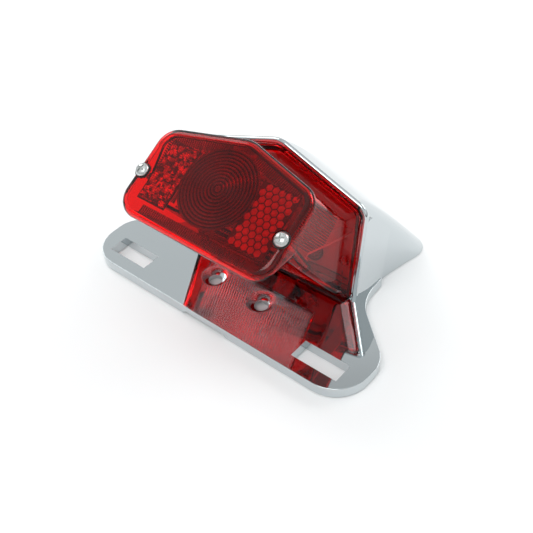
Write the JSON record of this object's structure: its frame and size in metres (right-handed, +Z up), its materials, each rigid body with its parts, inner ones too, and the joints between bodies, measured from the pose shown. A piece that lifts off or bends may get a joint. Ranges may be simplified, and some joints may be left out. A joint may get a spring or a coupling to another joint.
{
  "type": "motorcycle tail light",
  "caption": "Motorcycle tail light: red wedge lens on a chromed casting with a slotted number-plate flange below and a sprung bayonet bulb holder inside.",
  "frame": {"origin": "middle of the overall box, at the height of the casting's flat underside", "axes": "+X across the bike, -Y to the rear of the bike where the lens faces, +Z up"},
  "size_m": [0.1996, 0.1574, 0.0984],
  "materials": {
    "chrome": "bright chrome plate",
    "red_lens": "transparent, glossy, moulded prisms inside",
    "clear_plastic": "transparent, fluted",
    "black_rubber": "matt",
    "zinc_steel": "zinc plated",
    "white_plate": "white paint",
    "brass": "satin",
    "fibre": "matt",
    "glass": "clear, polished",
    "black_glass": "opaque, glossy",
    "solder": "dull",
    "tungsten": "drawn wire"
  },
  "bodies": {
    "casting": {"housing": "chrome", "lens": "red_lens", "lens_window": "clear_plastic", "lens_gasket": "black_rubber", "lens_screw_left": "zinc_steel", "lens_screw_right": "zinc_steel", "lens_screw_washer_left": "black_rubber", "lens_screw_washer_right": "black_rubber", "lens_screw_nut_left": "zinc_steel", "lens_screw_nut_right": "zinc_steel", "base_plate": "white_plate", "base_plate_screw_left": "zinc_steel", "base_plate_screw_right": "zinc_steel", "cable_grommet": "black_rubber", "holder_bracket": "zinc_steel", "bracket_rivet_left": "zinc_steel", "bracket_rivet_right": "zinc_steel", "bulb_holder": "zinc_steel", "holder_back_disc": "fibre", "terminal_tab_left": "brass", "terminal_tab_right": "brass", "terminal_rivet_left": "brass", "terminal_rivet_right": "brass", "contact_spring": "zinc_steel"},
    "bulb": {"bulb_cap": "brass", "bulb_insulator": "black_glass", "bulb_contact_left": "solder", "bulb_contact_right": "solder", "bulb_glass": "glass", "filament_stem": "glass", "filament_stop": "tungsten", "filament_tail": "tungsten", "filament_wire_stop_left": "tungsten", "filament_wire_stop_right": "tungsten", "filament_wire_tail_left": "tungsten", "filament_wire_tail_right": "tungsten"},
    "contacts": {"contact_carrier": "fibre", "contact_plunger_left": "brass", "contact_plunger_right": "brass"}
  },
  "joints": [
    {"name": "bulb_push", "type": "slide", "parent": "casting", "child": "bulb", "axis": [0, 0.7501, -0.6613], "range_m": [0, 0.0025], "stiffness_N_per_m": 2000},
    {"name": "contact_slide", "type": "slide", "parent": "casting", "child": "contacts", "axis": [0, 0.7501, -0.6613], "range_m": [0, 0.0025], "stiffness_N_per_m": 500, "deforming": ["contact_spring"]}
  ],
  "couplings": [
    {"joint": "contact_slide", "follows": "bulb_push", "ratio": 1}
  ]
}
